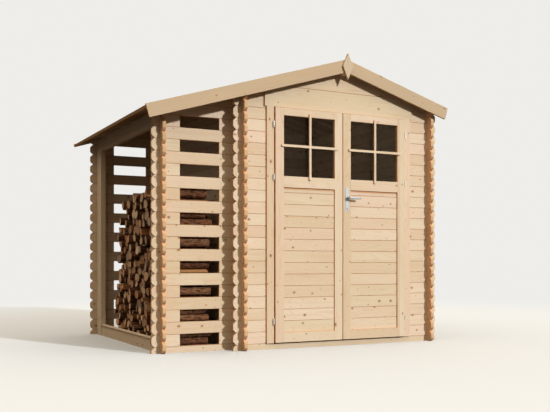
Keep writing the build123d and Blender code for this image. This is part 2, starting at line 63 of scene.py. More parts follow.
# Directions
X, Y, Z = (1, 0, 0), (0, 1, 0), (0, 0, 1)
DOWN_LEFT = (-math.cos(SLOPE), 0, -math.sin(SLOPE))
DOWN_RIGHT = (math.cos(SLOPE), 0, -math.sin(SLOPE))
OVER_LEFT = (-math.sin(SLOPE), 0, math.cos(SLOPE))
OVER_RIGHT = (math.sin(SLOPE), 0, math.cos(SLOPE))


def frame_x(x):
    """A distance from the shed's left wall, as an x of the shared frame."""
    return x - ORIGIN_X


def frame_y(y):
    """A distance from the shed's front wall, as a y of the shared frame."""
    return y - ORIGIN_Y


def place(x, y, z):
    """A point of the shed's own frame, in the shared frame."""
    return Vector((frame_x(x), frame_y(y), z))


def srgb(text):
    """A colour written as six hex digits, as linear RGBA."""
    parts = [int(text[i:i + 2], 16) / 255 for i in (0, 2, 4)]
    linear = [c / 12.92 if c <= 0.04045 else ((c + 0.055) / 1.055) ** 2.4 for c in parts]
    return (*linear, 1.0)


# Node graphs

class Graph:
    """A node tree, emptied, and calls that add nodes to it. A value is a number, a tuple or the
    output of another node."""

    def __init__(self, tree):
        self.nodes = tree.nodes
        self.links = tree.links
        self.nodes.clear()

    def put(self, socket, value):
        if isinstance(value, bpy.types.NodeSocket):
            self.links.new(value, socket)
        else:
            socket.default_value = value

    def node(self, kind, inputs=(), **settings):
        """A new node with its settings, and with its inputs by name or by number."""
        node = self.nodes.new("ShaderNode" + kind)
        for name, value in settings.items():
            setattr(node, name, value)
        for key, value in dict(inputs).items():
            self.put(node.inputs[key], value)
        return node

    def math(self, operation, *values):
        return self.node("Math", enumerate(values), operation=operation).outputs[0]

    def plus(self, first, second):
        return self.math("ADD", first, second)

    def minus(self, first, second):
        return self.math("SUBTRACT", first, second)

    def times(self, first, second):
        return self.math("MULTIPLY", first, second)

    def over(self, first, second):
        return self.math("DIVIDE", first, second)

    def wave(self, value):
        """From 0 up to 1 and down again, once in each unit."""
        return self.times(self.math("PINGPONG", value, 0.5), 2.0)

    def ramp(self, value, low, high, to_low=0.0, to_high=1.0):
        """A smooth step from low to high."""
        numbers = (value, low, high, to_low, to_high)
        node = self.node("MapRange", enumerate(numbers), interpolation_type="SMOOTHSTEP")
        return node.outputs[0]

    def vector(self, operation, *values):
        node = self.node("VectorMath", enumerate(values), operation=operation)
        return node.outputs["Value" if operation in ("DOT_PRODUCT", "LENGTH") else "Vector"]

    def combine(self, *values):
        return self.node("CombineXYZ", enumerate(values)).outputs[0]

    def separate(self, value):
        return tuple(self.node("SeparateXYZ", {0: value}).outputs)

    def random(self, value):
        """Three numbers from 0 to 1 that follow from one number."""
        node = self.node("TexWhiteNoise", {"W": value}, noise_dimensions="1D")
        return self.separate(node.outputs["Color"])

    def noise(self, vector, scale, detail=2.0, roughness=0.5):
        """Soft noise. scale is one number, or three where the noise is stretched."""
        if isinstance(scale, tuple):
            vector, scale = self.vector("MULTIPLY", vector, scale), 1.0
        inputs = {"Vector": vector, "Scale": scale, "Detail": detail, "Roughness": roughness}
        return self.node("TexNoise", inputs).outputs["Fac"]

    def mix(self, factor, first, second):
        """Two colours mixed."""
        return self.node("Mix", {0: factor, 6: first, 7: second}, data_type="RGBA").outputs[2]

    def tinted(self, base, *tints):
        """A colour with others laid over it. Each tint is its share and its hex digits."""
        for share, colour in tints:
            base = self.mix(share, base, srgb(colour))
        return base

    def blend(self, factor, first, second):
        """Two shaders mixed."""
        return self.node("MixShader", enumerate((factor, first, second))).outputs[0]

    def diffuse_ray(self):
        """1 for light on its way from one surface to another, 0 for what the camera sees."""
        return self.node("LightPath").outputs["Is Diffuse Ray"]


class Surface(Graph):
    """A material with a Principled shader."""

    def __init__(self, name):
        self.material = bpy.data.materials.new(name)
        self.material.use_nodes = True
        super().__init__(self.material.node_tree)
        self.shader = self.node("BsdfPrincipled")
        self.node("OutputMaterial", {0: self.shader.outputs[0]})
        coordinates = self.node("TexCoord").outputs
        self.point = coordinates["Object"]
        self.normal = coordinates["Normal"]
        self.uv = coordinates["UV"]

    def set(self, **values):
        """Sets the shader's inputs, which are named with _ for each space."""
        for name, value in values.items():
            self.put(self.shader.inputs[name.replace("_", " ")], value)

    def bump(self, height, strength, distance):
        inputs = {"Strength": strength, "Distance": distance, "Height": height}
        self.set(Normal=self.node("Bump", inputs).outputs[0])

    def facing(self, way):
        """1 where the surface faces a direction or away from it, 0 where it lies along it."""
        return self.math("ABSOLUTE", self.vector("DOT_PRODUCT", self.normal, way))

    def log_tone(self):
        """The three random numbers that each log carries."""
        node = self.node("Attribute", attribute_name="log_tone")
        return self.separate(node.outputs["Color"])


# Wood

SPRUCE = ("EAD6BD", "DBC2A2")
GABLE_TRIM = ("CCB79C", "BDA584")
HEADER_TONES = ("E6CFB0", "D8BC98")
# roof boards, much darker than the wall spruce: painted shade for boards seen from under the roof
ROOF_SHADED_TONES = ("A68A68", "92734F")
SAWN = ("C6925E", "A06A3C")
# end grain for the walls along y, paler than SAWN: painted light, as on ends that face the key
SAWN_LIT = ("E3BE94", "CB9C6C")

KNOT_CELLS = 11.0  # cells in a metre, with one knot at most in each
KNOT_LEAST = 0.0022  # radius of the thinnest knot
KNOT_MORE = 0.0066  # and what the thickest has more
KNOT_BEND = 0.022  # how far from a knot the rings bend round it
BOARD_SHIFT = (37.0, 11.0, 5.0)  # most that a board's pattern is moved along, up and across
SEED_STEP = 7.31  # keeps the boards of two materials from looking alike
RINGS = 34.0  # growth rings in one unit of their field
END_RINGS = 260.0  # and in a metre of sawn end


def knots_in(t, grain, chance):
    """Short rods through the board: their core, halo and shade, and how far the rings bend."""
    flat = t.vector("MULTIPLY", grain, (0.75, 1.0, 0.0))
    cells = t.node("TexVoronoi", {"Vector": flat, "Scale": KNOT_CELLS}, voronoi_dimensions="2D")
    distance = t.over(cells.outputs["Distance"], KNOT_CELLS)
    dice, size, shade = t.separate(cells.outputs["Color"])
    present = t.math("LESS_THAN", dice, chance)
    radius = t.plus(KNOT_LEAST, t.times(t.math("POWER", size, 3.0), KNOT_MORE))
    away = t.over(distance, radius)
    core = t.times(t.ramp(away, 0.75, 1.15, 1.0, 0.0), present)
    halo = t.times(t.ramp(away, 0.9, 2.6, 1.0, 0.0), present)
    bend = t.over(present, t.plus(1.0, t.math("POWER", t.over(distance, KNOT_BEND), 2.0)))
    return core, halo, shade, bend


def end_grain(t, across_board, depth, two, three, tones):
    """Colour of a board's sawn end, with rings round a pith in the board or near it."""
    pith = t.vector("LENGTH", t.combine(across_board, t.plus(depth, t.times(three, 0.05)), 0.0))
    rings = t.wave(t.plus(t.times(pith, END_RINGS), t.noise(t.point, 34.0)))
    cut = t.mix(t.ramp(rings, 0.3, 1.0), *map(srgb, tones))
    saw_marks = t.noise(t.point, 420.0, 2.0, 0.6)
    return t.tinted(cut, (t.ramp(saw_marks, 0.4, 0.8, 0.0, 0.35), "A56B38"))


def wood(name, along, up, first=0.0, pitch=PITCH, seed=0, joints=False, broad=None, tones=SPRUCE,
         knots=0.55, edge_shade=0.7, gloss=0.1, rail_shadow_top=None, sawn=SAWN, tips=None):
    """Planed spruce. along is the grain's direction, up goes across the boards, which start at
    first and are pitch wide. joints darkens the lines between them. broad is the direction that
    their wide faces point; the other faces get painted shade and bounce light, a deeper orange, by
    a share of their own. A panel's top edge, under a rail, can be given as a height, below which
    lies a painted shadow of the rail, a deeper orange too. sawn is the end grain's two tones. tips
    is where a wall's ends are, whose sides get painted shade and bounce light, a deeper orange."""
    t = Surface(name)
    across = tuple(Vector(along).cross(Vector(up)))
    length, height, depth = (t.vector("DOT_PRODUCT", t.point, way) for way in (along, up, across))
    board = t.over(t.minus(height, first), pitch)
    in_board = t.math("FRACT", board)
    one, two, three = t.random(t.plus(t.math("FLOOR", board), seed * SEED_STEP + 0.5))
    shift = t.vector("MULTIPLY", t.combine(one, two, three), BOARD_SHIFT)
    grain = t.vector("ADD", t.combine(length, height, depth), shift)
    core, halo, shade, bend = knots_in(t, grain, knots)

    # Growth rings, as contour lines of a field stretched along the grain
    field = t.plus(t.noise(grain, (0.5, 6.5, 6.5), 1.5, 0.45), t.times(bend, 0.16))
    late = t.ramp(t.wave(t.times(field, RINGS)), 0.45, 1.0)
    streaks = t.noise(grain, (1.1, 42.0, 42.0), 3.0, 0.6)
    fibre = t.noise(grain, (14.0, 620.0, 620.0), 2.0, 0.6)
    cloud = t.noise(t.vector("MULTIPLY", grain, (1.0, 3.0, 1.0)), 1.6)
    knot = t.mix(shade, srgb("6B4223"), srgb("95663A"))
    base = t.tinted(
        t.mix(one, *map(srgb, tones)),
        (t.ramp(two, 0.5, 1.0, 0.0, 0.5), "E9CCB6"),
        (t.ramp(three, 0.6, 1.0, 0.0, 0.45), "DACBA9"),
        (t.ramp(cloud, 0.4, 0.75, 0.0, 0.3), "D5B792"),
        (t.ramp(streaks, 0.45, 0.8, 0.0, 0.26), "D0AA7B"),
        (t.times(late, 0.16), "C49868"),
        (t.times(halo, 0.35), "B98855"),
    )
    base = t.mix(t.times(core, 0.8), base, knot)

    # painted shade and bounce light: a deeper orange on the sides of a wall's ends
    if tips:
        past = t.math("MINIMUM", t.minus(length, tips[0]), t.minus(tips[1], length))
        base = t.tinted(base, (t.ramp(past, 0.05, 0.07, 0.55, 0.0), "CC8A50"))
    end = t.ramp(t.facing(along), 0.35, 0.95)
    from_pith = t.times(t.minus(in_board, t.plus(-0.2, t.times(two, 1.4))), pitch)
    base = t.mix(t.times(end, 0.88), base, end_grain(t, from_pith, depth, two, three, sawn))
    # painted shade and bounce light: a deeper orange on the faces that don't face broad
    if broad:
        edge_shade_mask = t.ramp(t.facing(broad), 0.35, 0.8, edge_shade, 0.0)
        if tips:
            edge_shade_mask = t.times(edge_shade_mask, t.minus(1.0, end))
        base = t.tinted(base, (edge_shade_mask, "E09A60"))
    if joints:
        edge = t.times(t.minus(0.5, t.math("ABSOLUTE", t.minus(in_board, 0.5))), pitch)
        upright = t.math("LESS_THAN", t.facing(up), 0.9)
        line = t.times(t.ramp(edge, 0.0006, 0.0036, 1.0, 0.0), upright)
        base = t.tinted(base, (t.times(line, 0.6), "A86F3E"))
    # painted shadow of the rail: a deeper orange band just below a panel's top edge
    if rail_shadow_top:
        below = t.minus(rail_shadow_top, height)
        base = t.tinted(base, (t.ramp(below, 0.006, 0.022, 0.75, 0.0), "CC8347"))

    relief = t.minus(t.plus(t.times(late, 0.5), t.times(fibre, 0.8)), t.times(core, 0.8))
    t.bump(relief, 0.5, 0.0006)
    rough = t.plus(0.56, t.times(fibre, 0.22))
    t.set(Base_Color=base, Roughness=rough, Specular_IOR_Level=gloss)
    return t.material


# Felt, glass and metal

def felt():
    """Mineral roofing felt."""
    t = Surface("roofing_felt")
    grain = t.noise(t.point, 900.0, 2.0, 0.7)
    patch = t.noise(t.point, 2.5, 3.0, 0.5)
    colour = t.tinted(
        t.mix(t.ramp(grain, 0.35, 0.7), srgb("2C2E2D"), srgb("585B58")),
        (t.ramp(patch, 0.35, 0.75, 0.0, 0.3), "3B3B35"))
    t.bump(grain, 0.7, 0.0012)
    rough = t.ramp(grain, 0.2, 0.9, 0.82, 0.98)
    t.set(Base_Color=colour, Roughness=rough, Specular_IOR_Level=0.2)
    return t.material


def glass():
    """Clear pane with faint dust."""
    t = Surface("window_pane")
    dust = t.noise(t.point, 18.0, 4.0, 0.6)
    t.set(
        Base_Color=t.tinted(srgb("E6ECEA"), (t.ramp(dust, 0.4, 0.8, 0.0, 0.5), "C9CEC9")),
        Roughness=t.ramp(dust, 0.4, 0.8, 0.02, 0.06),
        Transmission_Weight=1.0,
        IOR=1.3,
        Specular_Tint=srgb("DCAF8C"),
    )
    return t.material


def metal(name, colour, dark, along, rough):
    """Brushed or plated steel, with fine lines along one direction."""
    t = Surface(name)
    stretch = tuple(900.0 if part == 0 else 40.0 for part in along)
    brushed = t.noise(t.point, stretch, 3.0, 0.6)
    spots = t.noise(t.point, 160.0, 3.0, 0.6)
    t.set(
        Base_Color=t.mix(t.ramp(spots, 0.35, 0.75), srgb(colour), srgb(dark)),
        Metallic=1.0,
        Roughness=t.ramp(brushed, 0.3, 0.7, rough - 0.07, rough + 0.09),
    )
    t.bump(brushed, 0.25, 0.0002)
    return t.material


# Materials of the CAD nodes

def apply(names, material):
    """Gives CAD nodes a material of their own."""
    for name in names:
        mesh = nodes[name].data
        mesh.materials.clear()
        mesh.materials.append(material)


X_ROWS = -HALF  # lower edge of the lowest row, in walls along x
Y_ROWS = 0.0  # and in walls along y
# share of painted shade and bounce light on the walls' thin faces
WALL_EDGE_SHADE = 0.28
WALLS = {
    # wall: direction of the grain, first, pieces
    "front_wall": (X, X_ROWS, (
        "front_wall_left", "front_wall_right", "front_gable", "front_sill_plank")),
    "back_wall": (X, X_ROWS, ("back_wall",)),
    "store_front": (X, X_ROWS, (
        "store_front_full_planks", "store_front_short_planks_left",
        "store_front_short_planks_right")),
    "store_back": (X, X_ROWS, (
        "store_back_full_planks", "store_back_short_planks_left",
        "store_back_short_planks_right")),
    "shed_left": (Y, Y_ROWS, ("shed_left_wall",)),
    "shed_right": (Y, Y_ROWS, ("shed_right_wall",)),
    "store_side": (Y, Y_ROWS, (
        "store_side_sill", "store_side_head", "store_side_planks_front",
        "store_side_planks_back")),
}
wall_wood = {}
for seed, (wall, (along, first, names)) in enumerate(WALLS.items(), start=1):
    looks = {
        "seed": seed, "joints": True, "broad": Y, "edge_shade": WALL_EDGE_SHADE,
        "gloss": 0.0 if "store" in wall or wall == "shed_left" else 0.1,
    }
    # walls along y: painted light on their end grain, painted shade and bounce light on their ends'
    # sides
    if along == Y:
        inset = STORE_INSET if wall == "store_side" else 0.0
        tips = (frame_y(inset - END_REACH), frame_y(SHED_DEPTH - inset + END_REACH))
        looks.update(broad=X, sawn=SAWN_LIT, tips=tips)
    wall_wood[wall] = wood("planks_" + wall, along, Z, first, **looks)
    apply(names, wall_wood[wall])

BOARD_SEED = 40
ONE_BOARD = (-9.0, 18.0)  # first and pitch of a board that holds the whole piece
BOARDS = (
    # piece, direction of the grain, across the boards, first, pitch
    ("store_post_front", Z, Y, frame_y(0.1), 0.3),
    ("store_post_back", Z, Y, frame_y(1.8), 0.3),
    ("store_head_lining", Y, Z, 1.7, 0.3),
    ("store_sill_cap", Y, Z, 0.05, 0.3),
    ("store_corner_batten_front", Z, X, frame_x(-0.1), 0.3),
    ("store_corner_batten_back", Z, X, frame_x(-0.1), 0.3),
    ("ridge_purlin", Y, Z, 2.1, 0.5),
    ("barge_board_front_left", DOWN_LEFT, OVER_LEFT, *ONE_BOARD),
    ("barge_board_front_right", DOWN_RIGHT, OVER_RIGHT, *ONE_BOARD),
    ("barge_board_back_left", DOWN_LEFT, OVER_LEFT, *ONE_BOARD),
    ("barge_board_back_right", DOWN_RIGHT, OVER_RIGHT, *ONE_BOARD),
    ("finial_front", Z, X, *ONE_BOARD),
    ("door_jamb_left", Z, X, *ONE_BOARD),
    ("door_jamb_right", Z, X, *ONE_BOARD),
    ("door_head", X, Z, 1.9, 0.5),
    ("door_threshold", X, Z, 0.0, 0.5),
    ("left_door_stiles", Z, X, frame_x(0.5), 0.3),
    ("right_door_stiles", Z, X, frame_x(1.2), 0.3),
    ("left_door_rails", X, Z, -0.4, 0.53),
    ("right_door_rails", X, Z, -0.4, 0.53),
    ("left_door_glazing_bars", X, Z, 1.0, 3.0),
    ("right_door_glazing_bars", X, Z, 1.0, 3.0),
    ("floor_bearers", Y, X, frame_x(0.0), 0.2),
)
for seed, (name, along, up, first, pitch) in enumerate(BOARDS, start=BOARD_SEED):
    gable = "barge" in name or "finial" in name
    # the thin faces of gable and door pieces get painted shade and bounce light, less on the gable
    # trim
    apply([name], wood(
        "boards_" + name, along, up, first, pitch, seed,
        broad=Y if gable or "door" in name else None,
        tones=GABLE_TRIM if gable else SPRUCE,
        knots=0.1 if "bars" in name or "finial" in name else 0.3,
        edge_shade=0.3 if gable else 0.8,
        gloss=0.0 if "store" in name else 0.1))

HEADER_BOARD = 0.3
HEADER_JOINT = 2.115
apply(["door_header_panel"], wood(
    "boards_door_header_panel", X, Z, HEADER_JOINT - HEADER_BOARD, HEADER_BOARD, seed=71,
    joints=True, broad=Y, tones=HEADER_TONES, knots=0.35))

LEAF_FOOT = 0.13
LEAF_FIRST = LEAF_FOOT - PITCH * 2
for name, seed in (("left_door_panel", 72), ("right_door_panel", 73)):
    # the panel's top edge, below which the rail's shadow is painted
    rail_shadow_top = max(corner[2] for corner in nodes[name].bound_box)
    apply([name], wood(
        "boards_" + name, X, Z, LEAF_FIRST, seed=seed, joints=True, broad=Y, rail_shadow_top=rail_shadow_top))

ROOF_OVERHANG = 0.08
ROOF_BOARDS = 24
ROOF_BOARD = (SHED_DEPTH + 2 * ROOF_OVERHANG) / ROOF_BOARDS
# roof boards in their darker tones: painted shade
for side, down, seed in (("left", DOWN_LEFT, 74), ("right", DOWN_RIGHT, 75)):
    apply(["roof_boards_" + side], wood(
        "boards_roof_" + side, down, Y, frame_y(-ROOF_OVERHANG), ROOF_BOARD, seed,
        joints=True, tones=ROOF_SHADED_TONES, gloss=0.0))

FLOOR_EDGE = 0.03
FLOOR_BOARDS = 22
FLOOR_BOARD = (SHED_DEPTH - 2 * FLOOR_EDGE) / FLOOR_BOARDS
apply(["shed_floor"], wood(
    "boards_shed_floor", X, Y, frame_y(FLOOR_EDGE), FLOOR_BOARD, seed=76, joints=True))

apply(["roof_felt"], felt())
apply(["left_door_glass", "right_door_glass"], glass())
hinge_metal = metal("zinc_plated_steel", "D6D2CA", "AFABA3", Z, 0.36)
apply(["door_frame_hinges", "left_door_hinge_knuckles", "right_door_hinge_knuckles"], hinge_metal)
lock_metal = metal("satin_steel", "959594", "858585", Z, 0.5)
apply(["lock_plates", "door_handle"], lock_metal)


# Softened edges on sawn trim and on the lock plates

TRIM_EDGE = 0.0012
PLATE_EDGE = 0.0008
SAME_POINT = 0.00002
SHARP = math.radians(40)


def soften(name, width):
    weld = nodes[name].modifiers.new("weld", "WELD")
    weld.merge_threshold = SAME_POINT
    bevel = nodes[name].modifiers.new("soften", "BEVEL")
    bevel.width = width
    bevel.segments = 2
    bevel.limit_method = "ANGLE"
    bevel.angle_limit = SHARP


for name in (
    "store_post_front", "store_post_back", "store_head_lining", "store_sill_cap",
    "store_corner_batten_front", "store_corner_batten_back",
    "barge_board_front_left", "barge_board_front_right",
    "barge_board_back_left", "barge_board_back_right",
    "finial_front", "door_jamb_left", "door_jamb_right", "door_threshold",
    "left_door_stiles", "left_door_rails", "right_door_rails", "right_door_stiles",
    "left_door_glazing_bars", "right_door_glazing_bars",
):
    soften(name, TRIM_EDGE)
soften("lock_plates", PLATE_EDGE)


# Rounded log ends: a slim crescent on each slanted face of the scalloped plank ends

SCALLOP_DEPTH = 0.029
SCALLOP_FLAT = 0.038
CRESCENT_RISE = 0.0036
CRESCENT_STEPS = 4
ROOF_CLEARANCE = 0.002
TO_ROOF = math.inf  # rows of a wall that goes up as far as the roof lets it


def object_from(mesh, name, materials):
    """A finished bmesh as an object in the scene."""
    data = bpy.data.meshes.new(name)
    mesh.to_mesh(data)
    mesh.free()
    for material in materials:
        data.materials.append(material)
    made = bpy.data.objects.new(name, data)
    bpy.context.scene.collection.objects.link(made)
    return made


def roof_underside(x):
    return RIDGE_HEIGHT - abs(x - RIDGE_X) * math.tan(SLOPE)


def along_x(distance, face, height):
    return place(distance, face, height)


def along_y(distance, face, height):
    return place(face, distance, height)


def crescent(mesh, tip, root, across, side, material):
    """One crescent. tip and root are (distance along the wall, height) of the slanted face's two
    edges, across is the wall's two faces and side turns (distance, face, height) into a place."""
    chord = (root[0] - tip[0], root[1] - tip[1])
    length = math.hypot(*chord)
    out = (chord[1] / length, -chord[0] / length)
    if out[0] * (tip[0] - root[0]) < 0:
        out = (-out[0], -out[1])
    rows = []
    for face in across:
        row = []
        for step in range(CRESCENT_STEPS + 1):
            share = step / CRESCENT_STEPS
            rise = CRESCENT_RISE * (1 - (2 * share - 1) ** 2)
            distance = tip[0] + chord[0] * share + out[0] * rise
            height = tip[1] + chord[1] * share + out[1] * rise
            row.append(mesh.verts.new(side(distance, face, height)))
        rows.append(row)
    near, far = rows
    faces = [tuple(near), tuple(reversed(far))]
    for step in range(CRESCENT_STEPS):
        faces.append((near[step + 1], near[step], far[step], far[step + 1]))
    faces.append((near[0], near[-1], far[-1], far[0]))
    for corners in faces:
        mesh.faces.new(corners).material_index = material


def rounded_ends():
    """The crescents on every end of every wall."""
    shed_x = ((-END_REACH, 1), (SHED_WIDTH + END_REACH, -1))
    shed_y = ((-END_REACH, 1), (SHED_DEPTH + END_REACH, -1))
    store_x = ((-STORE_WIDTH - END_REACH, 1),)
    store_y = ((STORE_INSET - END_REACH, 1), (SHED_DEPTH - STORE_INSET + END_REACH, -1))
    mesh = bmesh.new()
    materials = list(wall_wood)
    for wall, near, count, ends in (
        # wall, near face, rows, its ends with the way inwards
        ("front_wall", 0.0, TO_ROOF, shed_x),
        ("back_wall", SHED_DEPTH - WALL, TO_ROOF, shed_x),
        ("store_front", STORE_INSET, TO_ROOF, store_x),
        ("store_back", SHED_DEPTH - STORE_INSET - WALL, TO_ROOF, store_x),
        ("shed_left", 0.0, SHED_ROWS, shed_y),
        ("shed_right", SHED_WIDTH - WALL, SHED_ROWS, shed_y),
        ("store_side", -STORE_WIDTH, STORE_ROWS, store_y),
    ):
        along, first, _ = WALLS[wall]
        side = along_x if along == X else along_y
        number = materials.index(wall)
        across = (near, near + WALL)
        lowest = first + HALF
        for end, inward in ends:
            root = end + inward * SCALLOP_DEPTH
            top = roof_underside(end if along == X else near) - ROOF_CLEARANCE
            row = 0
            while row < count and lowest + row * PITCH - HALF < top:
                middle = lowest + row * PITCH
                has_lower = middle >= HALF
                has_upper = middle + HALF < top and row < count - 1
                for present, way in ((has_lower, -1), (has_upper, 1)):
                    if present:
                        tip_edge = (end, middle + way * SCALLOP_FLAT / 2)
                        root_edge = (root, middle + way * HALF)
                        crescent(mesh, tip_edge, root_edge, across, side, number)
                row += 1
    bmesh.ops.recalc_face_normals(mesh, faces=mesh.faces)
    piece = object_from(mesh, "log_end_rounds", [wall_wood[wall] for wall in materials])
    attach(piece, "root")


rounded_ends()


# Hinge barrels and lever, turned and swept

HINGE_HEIGHTS = (0.221, 1.379, 1.803)
HINGE_X = 0.279
HINGE_Y = -0.023
BARREL_RADIUS = 0.0065
BARREL_LENGTH = 0.025
BARREL_ROUND = 0.0012
STUD_RADIUS = 0.003
STUD_ROUND = 0.0005
JAMB_STUD = 0.03
STILE_STUD = 0.033

LEAF_FRONT = -0.031
LEAF_BACK = 0.005
PLATE = 0.002
LOCK_X = 0.9615
LEVER_HEIGHT = 1.232
LEVER_REACH = 0.0365
LEVER_BEND = 0.016
BEND_STEPS = 8
BEND_THINNER = 0.0028
BEND_TALLER = 0.0018
COLLAR = ((0.0, 0.0128), (0.0035, 0.0128), (0.0048, 0.0118), (0.005, 0.0095))  # (out, radius)
NECK = ((0.0085, 0.0085), (0.0075, 0.0075), (0.0075, 0.0078))  # radii (level, upright)
GRIP = (
    # distance from the neck, radius level, radius upright
    (0.03, 0.0046, 0.0098), (0.06, 0.0043, 0.0098), (0.09, 0.0041, 0.0095),
    (0.104, 0.0039, 0.009), (0.110, 0.0034, 0.0078), (0.1125, 0.0024, 0.006),
    (0.113, 0.0012, 0.004),
)
SPINDLE_WIDTH = 0.008
SPINDLE_LENGTH = 0.06
SPINDLE_MIDDLE = -0.013
ROD_SIDES = 28
ROD_ENDS = (
    # distance from the end, and how much of the edge is left there, in shares of the softening
    (0.0, 0.6), (0.3, 0.9), (1.0, 1.0),
)


def swept(mesh, points, radii):
    """A rod with an oval section: radii are (level, upright) at each point of its middle line,
    which stays level or is plumb. In a plumb rod both radii lie level."""
    rings = []
    count = len(points)
    for i, point in enumerate(points):
        ahead = (points[min(i + 1, count - 1)] - points[max(i - 1, 0)]).normalized()
        level = ahead.cross(Vector(Z))
        if level.length < 0.1:
            level = Vector(X)
        level.normalize()
        upright = level.cross(ahead).normalized()
        ring = []
        for step in range(ROD_SIDES):
            angle = 2 * math.pi * step / ROD_SIDES
            offset = level * (radii[i][0] * math.cos(angle))
            offset += upright * (radii[i][1] * math.sin(angle))
            ring.append(mesh.verts.new(point + offset))
        rings.append(ring)
    for first, second in zip(rings, rings[1:]):
        for step in range(ROD_SIDES):
            after = (step + 1) % ROD_SIDES
            corners = (first[step], first[after], second[after], second[step])
            mesh.faces.new(corners).smooth = True
    mesh.faces.new(rings[0])
    mesh.faces.new(rings[-1])


def rounded_bar(mesh, start, end, radius, round_off):
    """A straight round bar with softened ends."""
    ahead = (end - start).normalized()
    points = [start + ahead * round_off * s for s, _ in ROD_ENDS]
    points += [end - ahead * round_off * s for s, _ in reversed(ROD_ENDS)]
    sizes = [radius - round_off * (1 - r) for _, r in ROD_ENDS]
    sizes += sizes[::-1]
    swept(mesh, points, [(size, size) for size in sizes])


def finished(mesh, name, body, replaced, material):
    """Makes a piece that takes a CAD node's place."""
    bmesh.ops.recalc_face_normals(mesh, faces=mesh.faces)
    piece = object_from(mesh, name, [material])
    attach(piece, body)
    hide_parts(replaced)


def hinges():
    """Barrels on their studs: the lower ones on the frame, the upper ones on the leaves."""
    frame_side, left_side, right_side = bmesh.new(), bmesh.new(), bmesh.new()
    length, gap = Vector(Z) * BARREL_LENGTH, Vector(Z) * FIT
    barrel, stud = (BARREL_RADIUS, BARREL_ROUND), (STUD_RADIUS, STUD_ROUND)
    for x, leaf_side, towards in (
        (HINGE_X, left_side, 1), (SHED_WIDTH - HINGE_X, right_side, -1),
    ):
        for height in HINGE_HEIGHTS:
            middle = place(x, HINGE_Y, height)
            low, high = middle - length / 2, middle + length / 2
            rounded_bar(frame_side, middle - length, middle - gap, *barrel)
            rounded_bar(leaf_side, middle + gap, middle + length, *barrel)
            rounded_bar(frame_side, low, low + Vector(Y) * JAMB_STUD, *stud)
            rounded_bar(leaf_side, high, high + Vector(X) * towards * STILE_STUD, *stud)
    finished(frame_side, "frame_hinge_barrels", "root", "door_frame_hinges",
             hinge_metal)
    finished(left_side, "left_door_hinge_barrels", "left_door", "left_door_hinge_knuckles",
             hinge_metal)
    finished(right_side, "right_door_hinge_barrels", "right_door", "right_door_hinge_knuckles",
             hinge_metal)


def lever(mesh, face, outward):
    """One lever: a collar on the plate, a round neck, and a bend into a flat grip."""
    def at(x, out):
        return place(LOCK_X + x, face + outward * out, LEVER_HEIGHT)

    swept(mesh, [at(0.0, out) for out, _ in COLLAR], [(radius, radius) for _, radius in COLLAR])
    straight = LEVER_REACH - LEVER_BEND
    points = [at(0.0, 0.0), at(0.0, straight / 2), at(0.0, straight)]
    radii = list(NECK)
    for step in range(1, BEND_STEPS + 1):
        share = step / BEND_STEPS
        angle = math.pi / 2 * share
        x = LEVER_BEND * (1 - math.cos(angle))
        points.append(at(x, straight + LEVER_BEND * math.sin(angle)))
        radii.append((NECK[-1][0] - BEND_THINNER * share, NECK[-1][1] + BEND_TALLER * share))
    for x, level, upright in GRIP:
        points.append(at(x, LEVER_REACH))
        radii.append((level, upright))
    swept(mesh, points, radii)


def handle():
    """Both levers and the square spindle that joins them."""
    mesh = bmesh.new()
    lever(mesh, LEAF_FRONT - PLATE - FIT, -1)
    lever(mesh, LEAF_BACK + PLATE + FIT, 1)
    for vert in bmesh.ops.create_cube(mesh, size=1.0)["verts"]:
        x, y, z = vert.co
        vert.co = place(
            LOCK_X + x * SPINDLE_WIDTH, SPINDLE_MIDDLE + y * SPINDLE_LENGTH,
            LEVER_HEIGHT + z * SPINDLE_WIDTH)
    finished(mesh, "lever_handle", "door_handle", "door_handle", lock_metal)


hinges()
handle()


# Firewood: round and split logs, let down into a pile

STACK_FRONT = STORE_INSET + WALL + FIT
STACK_INSET = 0.014
STACK_LEFT = -STORE_WIDTH + WALL + STACK_INSET
STACK_HEIGHT = 1.307
STACK_FOOT = 1.49  # reach from the front wall, at the foot
STACK_TOP = 1.14  # and at the top
STACK_SLACK = 0.002
SHOULDER_FROM = 0.88  # share of the height where the top begins to round off
SHOULDER_SPAN = 0.12
SHOULDER_BACK = 0.07

COURSE = 0.072
COURSE_START = 0.04
LAID_HEIGHT = 1.25  # how high the logs are laid before they sink, in stack heights
PILE_STEPS = 360
PUSH = 0.45  # share of an overlap by which two logs move apart in a step
SINK = 0.0003

LOG_RADIUS = (0.027, 0.042)
UPPER_MORE = 0.005  # what a log at the top has more
THICK_SHARE, THICKER = 0.1, 1.2
LOG_LENGTH = 0.4
LOG_NEAREST = 0.004
LOG_SET_BACK = 0.085
LOG_SHORTER = 0.06
LOG_GAP = 0.0006
LOG_SIDES = 18
LOG_OVAL = 0.08
LOG_LOBE = 0.035
NEIGHBOUR = 1.12  # how far apart two neighbours may be, as a share of their radii's sum
OFF_GROUND = 0.0005
SPLIT_SHARE = 0.35
SPLITS = ((0.0,), (0.0, 2.1), (0.0, 1.7))  # turns between a log's split faces
SPLIT_DEPTH = (0.1, 0.6)  # how far from the middle, in radii
STATIONS = (0.0, 0.01, 0.16, 0.33, 0.5, 0.67, 0.84, 0.99, 1.0)  # shares of a log's length
END_STATIONS = 0.1  # stations below this belong to the slanted outer end
LOG_SLANT = 0.15
SAWN_SIZE = 0.955
RING_ROUGH = 0.02
BARK_ROUGH = 0.03
CUT, SPLIT, BARK = 0, 1, 2


def stack_reach(height):
    """How far the stack reaches from the front wall at a height."""
    share = np.minimum(height / STACK_HEIGHT, 1.0)
    return STACK_FOOT + (STACK_TOP - STACK_FOOT) * share * share


